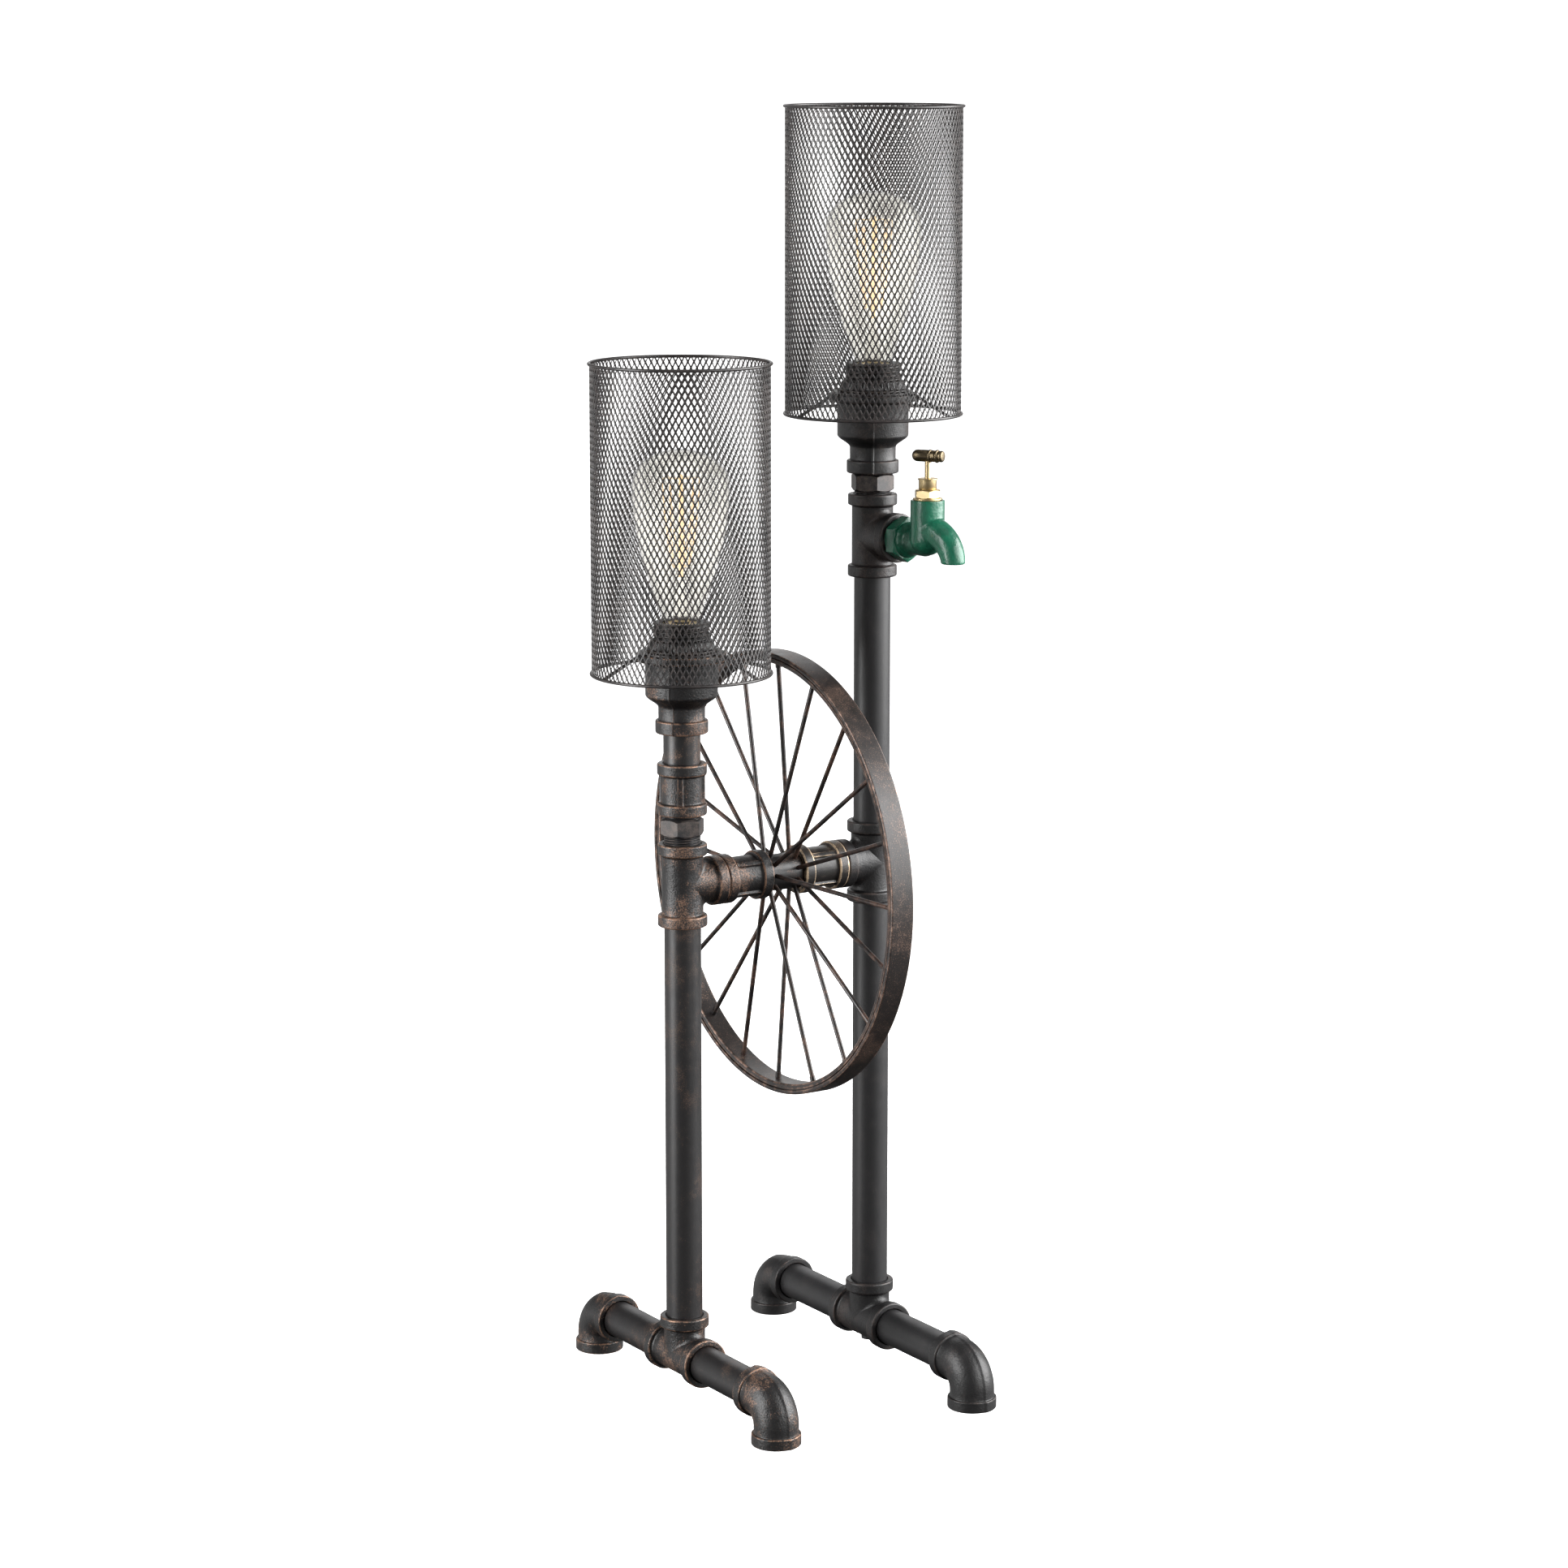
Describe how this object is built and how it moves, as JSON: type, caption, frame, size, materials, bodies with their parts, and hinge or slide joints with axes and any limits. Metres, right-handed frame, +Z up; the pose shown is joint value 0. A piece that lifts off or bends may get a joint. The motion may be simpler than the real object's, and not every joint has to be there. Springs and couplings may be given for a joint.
{
  "type": "pipe table lamp",
  "caption": "Industrial table lamp of pipe fittings: a short and a tall post with mesh cylinder shades, a spoked wheel on the axle between them, and a bib tap that works the switch.",
  "frame": {"origin": "on the floor, midway between the two posts", "axes": "+Z up; +X along the axle from the short post to the tall post; the feet run along Y and the tap looks towards -Y"},
  "size_m": [0.2964, 0.3266, 0.9385],
  "materials": {
    "front_iron": "dark bronze over cast iron, rubbed through to copper on the bands and edges",
    "front_pipe": "satin brown-black with faint copper rubbing",
    "back_iron": "matt charcoal over cast iron with slight copper rubbing",
    "back_pipe": "satin charcoal",
    "wheel_bronze": "dark bronze, rubbed to copper along the rim edges and spokes",
    "shade_metal": "dark gunmetal, satin",
    "holder_black": "satin brown-black",
    "bulb_glass": "clear, faintly warm",
    "contact_brass": "plain brass",
    "filament": "glass stem and warm filament",
    "tap_green": "glossy green enamel with light wear",
    "tap_brass": "bright turned brass",
    "tap_bar": "aged brass",
    "black_rubber": "matt black",
    "switch_plastic": "matt black"
  },
  "bodies": {
    "stand": {"front_elbow_near": "front_iron", "front_elbow_far": "front_iron", "front_foot_nipple_near": "front_pipe", "front_foot_nipple_far": "front_pipe", "front_base_tee": "front_iron", "front_post_pipe": "front_pipe", "front_axle_tee": "front_iron", "front_hex_nipple": "front_pipe", "front_coupling": "front_iron", "front_neck_nipple": "front_pipe", "front_bell": "front_iron", "front_lampholder": "holder_black", "front_contacts": "contact_brass", "front_ring_nut": "holder_black", "front_shade_carrier": "shade_metal", "front_shade_mesh": "shade_metal", "front_shade_top_wire": "shade_metal", "front_bulb_glass": "bulb_glass", "front_bulb_cap": "contact_brass", "front_bulb_filament": "filament", "back_elbow_near": "back_iron", "back_elbow_far": "back_iron", "back_foot_nipple_near": "back_pipe", "back_foot_nipple_far": "back_pipe", "back_base_tee": "back_iron", "back_lower_pipe": "back_pipe", "back_axle_tee": "back_iron", "back_upper_pipe": "back_pipe", "tap_tee": "back_iron", "back_hex_nipple": "back_pipe", "back_bell": "back_iron", "back_lampholder": "holder_black", "back_contacts": "contact_brass", "back_ring_nut": "holder_black", "back_shade_carrier": "shade_metal", "back_shade_mesh": "shade_metal", "back_shade_top_wire": "shade_metal", "back_bulb_glass": "bulb_glass", "back_bulb_cap": "contact_brass", "back_bulb_filament": "filament", "axle_close_nipples": "back_pipe", "front_axle_coupling": "front_iron", "back_axle_coupling": "back_iron", "axle_bushes": "back_pipe", "axle_tube": "back_pipe", "tap_body": "tap_green", "tap_bonnet": "tap_brass", "tap_gland_nut": "tap_brass", "rotary_switch": "switch_plastic", "cord_bush": "black_rubber", "supply_wire": "black_rubber", "front_lamp_wire": "black_rubber", "back_lamp_wire": "black_rubber"},
    "wheel": {"wheel_hub": "wheel_bronze", "wheel_spokes": "wheel_bronze", "wheel_rim": "wheel_bronze"},
    "tap_handle_and_spindle": {"tap_spindle": "tap_brass", "tap_handle": "tap_bar"}
  },
  "joints": [
    {"name": "wheel_spin", "type": "hinge", "parent": "stand", "child": "wheel", "pos_m": [0, 0, 0.385], "axis": [1, 0, 0], "continuous": true},
    {"name": "tap_switch_turn", "type": "hinge", "parent": "stand", "child": "tap_handle_and_spindle", "pos_m": [0.08818, -0.06166, 0.628], "axis": [0, 0, 1], "range_deg": [0, 90]}
  ]
}
